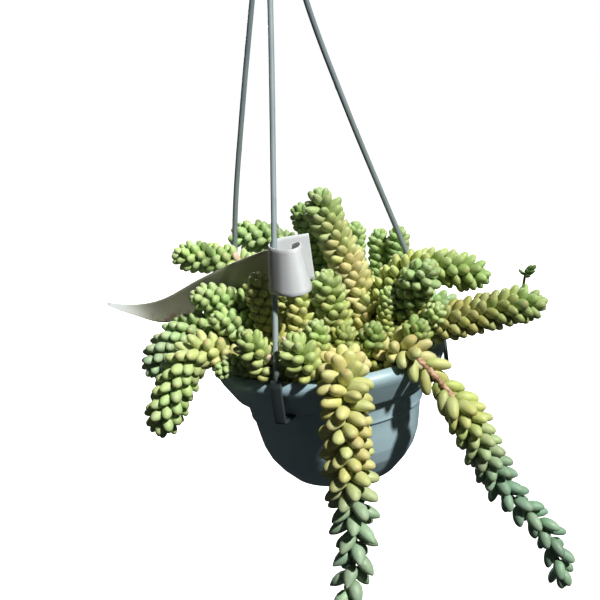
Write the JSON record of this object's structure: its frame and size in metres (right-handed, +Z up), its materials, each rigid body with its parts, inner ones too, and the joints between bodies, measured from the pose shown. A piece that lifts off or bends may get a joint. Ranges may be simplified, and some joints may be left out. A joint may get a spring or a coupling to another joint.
{
  "type": "potted burro's tail plant",
  "caption": "Burro's tail succulent with fat-leaved stems that rise and trail over a shallow hanging pot, with strands, a hook and a plain plant label.",
  "frame": {"origin": "inside top of the hook, where it rests on a rail, straight above the middle of the pot", "axes": "+Z up along the pot's axis; -Y towards the viewer of the picture; +X to the viewer's right"},
  "size_m": [0.281, 0.206, 0.485],
  "materials": {
    "pot": "satin",
    "soil": "matte",
    "hanger": "satin",
    "label": "satin",
    "leaf_fresh": "satin",
    "leaf_yellow": "satin",
    "leaf_glaucous": "satin"
  },
  "bodies": {
    "root": {"pot_bowl": "pot", "potting_soil": "soil", "hanger_strand_front": "hanger", "hanger_strand_right": "hanger", "hanger_strand_left": "hanger", "hanger_hook": "hanger", "plant_label": "label", "tail_front_trailing": "leaf_yellow", "tail_right_trailing": "leaf_glaucous", "tail_left_lower": "leaf_yellow", "tail_left_hanging": "leaf_glaucous", "tail_right_long": "leaf_yellow", "tail_right_upper": "leaf_glaucous", "tail_right_facing": "leaf_fresh", "tail_tall_centre": "leaf_yellow", "tail_tall_rear": "leaf_fresh", "tail_front_left_head": "leaf_fresh", "tail_left_front_head": "leaf_fresh", "tail_centre_head": "leaf_fresh", "tail_front_head_left": "leaf_fresh", "tail_front_head_centre": "leaf_fresh", "tail_front_head_right": "leaf_fresh", "tail_right_front_head": "leaf_fresh", "tail_left_head_upper": "leaf_fresh", "tail_left_head_lower": "leaf_fresh", "tail_left_bud": "leaf_fresh", "tail_shaded_left": "leaf_yellow", "tail_shaded_centre": "leaf_yellow", "tail_left_upper": "leaf_fresh", "tail_rear_left": "leaf_fresh", "tail_right_small": "leaf_fresh", "tail_right_low_head": "leaf_fresh", "tail_rear_small_left": "leaf_fresh", "tail_rear_small_centre": "leaf_fresh", "tail_rear_small_right": "leaf_fresh", "tail_back_trailing": "leaf_glaucous", "tail_back_left": "leaf_glaucous", "tail_back_right": "leaf_glaucous", "tail_side_right": "leaf_glaucous", "tail_side_left": "leaf_glaucous", "tail_back_head_left": "leaf_fresh", "tail_back_head_right": "leaf_fresh", "tail_inner_left": "leaf_fresh", "tail_inner_rear_left": "leaf_fresh", "tail_inner_rear": "leaf_fresh", "tail_inner_middle_left": "leaf_yellow", "tail_inner_middle": "leaf_yellow", "tail_inner_rear_right": "leaf_yellow", "tail_inner_right": "leaf_yellow", "tail_inner_right_rear": "leaf_fresh"}
  },
  "joints": []
}
